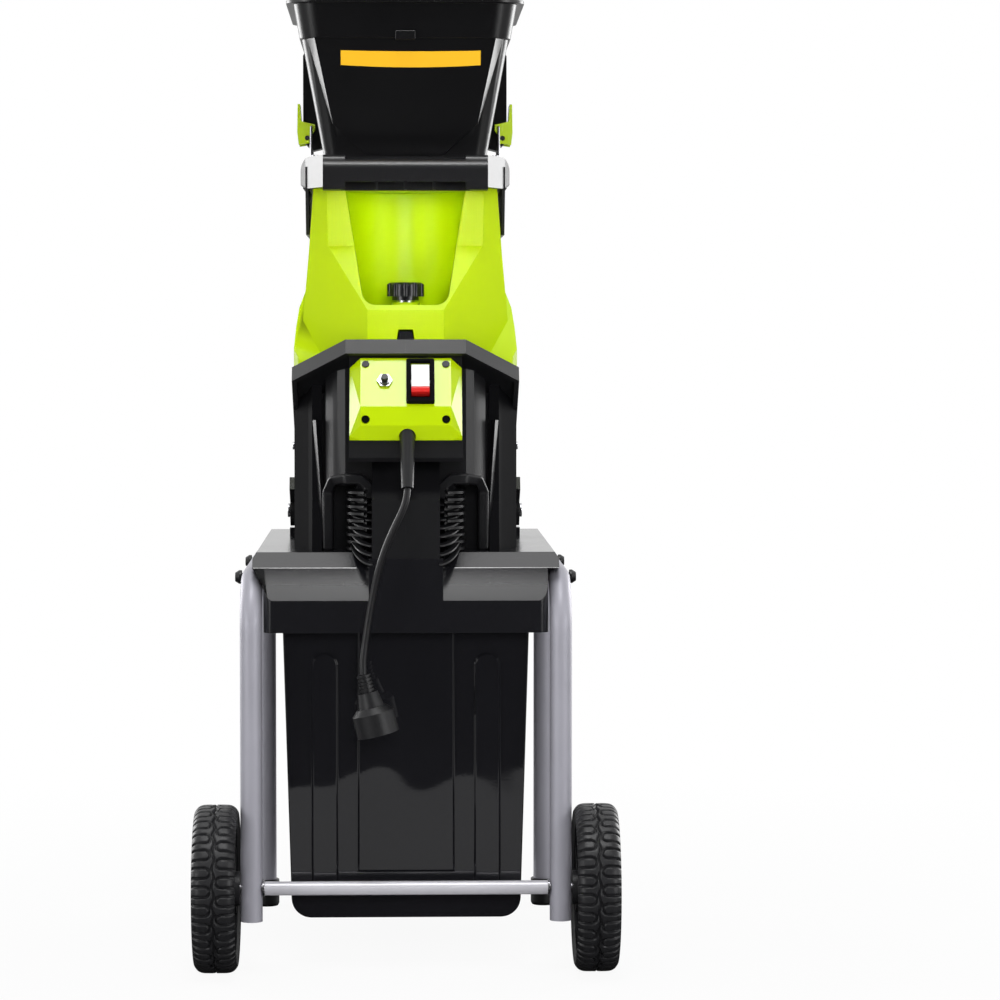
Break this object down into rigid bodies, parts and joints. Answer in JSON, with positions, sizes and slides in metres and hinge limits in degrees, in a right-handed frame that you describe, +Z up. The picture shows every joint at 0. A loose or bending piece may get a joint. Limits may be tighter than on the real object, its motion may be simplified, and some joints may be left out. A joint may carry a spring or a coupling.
{
  "type": "garden shredder",
  "caption": "Electric garden shredder: feed hopper on a tilting housing over a blade disc, on a wheeled tube frame with a slide-out catch bin.",
  "frame": {"origin": "on the floor, under the middle of the outline without the cord", "axes": "+Z up; -Y the near side with wheels, switch and cord; +X to the right seen from the near side"},
  "size_m": [0.425, 0.539, 0.973],
  "materials": {
    "matte_black": "fine moulded grain",
    "gloss_black": "glossy moulded plastic",
    "green": "semi-gloss lime green plastic",
    "tube_silver": "silver powder coat",
    "steel": "bare steel",
    "zinc": "zinc plated",
    "rubber": "matte rubber",
    "tyre": "moulded tread",
    "copper": "wound core",
    "white": "glossy white plastic"
  },
  "bodies": {
    "chassis": {"platform": "matte_black", "left_frame": "tube_silver", "right_frame": "tube_silver", "frame_bolts": "zinc", "frame_nuts": "zinc", "rear_feet": "rubber", "axle_rod": "steel", "axle_spacer": "tube_silver", "star_washers": "zinc", "left_housing": "matte_black", "right_housing": "matte_black", "housing_screws": "zinc", "disc_plate": "steel", "chip_chute": "matte_black", "interlock_switch": "matte_black", "motor_can": "steel", "motor_flange": "steel", "motor_bearings": "steel", "stator": "copper", "hinge_pins": "zinc", "box_base": "matte_black", "box_cover": "green", "cover_screws": "zinc", "switch_frame": "matte_black", "reset_nut": "zinc", "strain_relief": "rubber", "power_cord": "rubber", "plug": "rubber", "plug_pins": "zinc"},
    "left_wheel": {"left_wheel": "tyre", "left_hub_cap": "matte_black"},
    "right_wheel": {"right_wheel": "tyre", "right_hub_cap": "matte_black"},
    "bin": {"bin": "gloss_black"},
    "rotor": {"rotor_shaft": "steel", "rotor_core": "copper", "fan": "matte_black", "blade_disc": "steel", "blades": "steel", "blade_screws": "zinc", "disc_bolt": "zinc"},
    "upper": {"upper_housing": "green", "hinge_arms": "matte_black", "handle_frame": "matte_black", "handle_screws": "zinc", "hopper": "matte_black", "hopper_rim": "matte_black", "splash_guard": "rubber", "latch_pins": "zinc"},
    "knob_washer": {"knob_washer": "zinc"},
    "knob": {"lock_knob": "matte_black", "lock_stud": "zinc"},
    "left_lever": {"left_lever": "green"},
    "right_lever": {"right_lever": "green"},
    "left_bail": {"left_bail": "zinc"},
    "right_bail": {"right_bail": "zinc"},
    "rocker": {"rocker": "white"},
    "reset_button": {"reset_button": "matte_black"}
  },
  "joints": [
    {"name": "left_wheel_spin", "type": "hinge", "parent": "chassis", "child": "left_wheel", "pos_m": [-0.19, -0.1855, 0.084], "axis": [1, 0, 0], "continuous": true},
    {"name": "right_wheel_spin", "type": "hinge", "parent": "chassis", "child": "right_wheel", "pos_m": [0.19, -0.1855, 0.084], "axis": [1, 0, 0], "continuous": true},
    {"name": "bin_slide", "type": "slide", "parent": "chassis", "child": "bin", "axis": [0, 1, 0], "range_m": [0, 0.42]},
    {"name": "rotor_spin", "type": "hinge", "parent": "chassis", "child": "rotor", "pos_m": [0, -0.0205, 0.54488], "axis": [0, 0.4924, 0.8704], "continuous": true},
    {"name": "upper_tilt", "type": "hinge", "parent": "chassis", "child": "upper", "pos_m": [0, 0.1525, 0.447], "axis": [-1, 0, 0], "range_deg": [0, 75]},
    {"name": "knob_lift", "type": "slide", "parent": "upper", "child": "knob_washer", "axis": [0, 0, 1], "range_m": [0, 0.012]},
    {"name": "knob_turn", "type": "hinge", "parent": "knob_washer", "child": "knob", "pos_m": [0, -0.1375, 0.68], "axis": [0, 0, 1], "range_deg": [0, 2880]},
    {"name": "left_lever_swing", "type": "hinge", "parent": "upper", "child": "left_lever", "pos_m": [-0.101, -0.0155, 0.842], "axis": [0, -1, 0], "range_deg": [0, 120]},
    {"name": "right_lever_swing", "type": "hinge", "parent": "upper", "child": "right_lever", "pos_m": [0.101, -0.0155, 0.842], "axis": [0, 1, 0], "range_deg": [0, 120]},
    {"name": "left_bail_swing", "type": "hinge", "parent": "left_lever", "child": "left_bail", "pos_m": [-0.097, -0.0155, 0.853], "axis": [0, -1, 0], "range_deg": [-120, 0]},
    {"name": "right_bail_swing", "type": "hinge", "parent": "right_lever", "child": "right_bail", "pos_m": [0.097, -0.0155, 0.853], "axis": [0, 1, 0], "range_deg": [-120, 0]},
    {"name": "rocker_tilt", "type": "hinge", "parent": "chassis", "child": "rocker", "pos_m": [0.0145, -0.19575, 0.59152], "axis": [1, 0, 0], "range_deg": [0, 14]},
    {"name": "reset_press", "type": "slide", "parent": "chassis", "child": "reset_button", "axis": [0, 0.8387, -0.5446], "range_m": [0, 0.003], "stiffness_N_per_m": 300}
  ],
  "couplings": [
    {"joint": "knob_lift", "follows": "knob_turn", "m_per_rad": 0.000238},
    {"joint": "left_bail_swing", "follows": "left_lever_swing", "ratio": -1},
    {"joint": "right_bail_swing", "follows": "right_lever_swing", "ratio": -1}
  ]
}
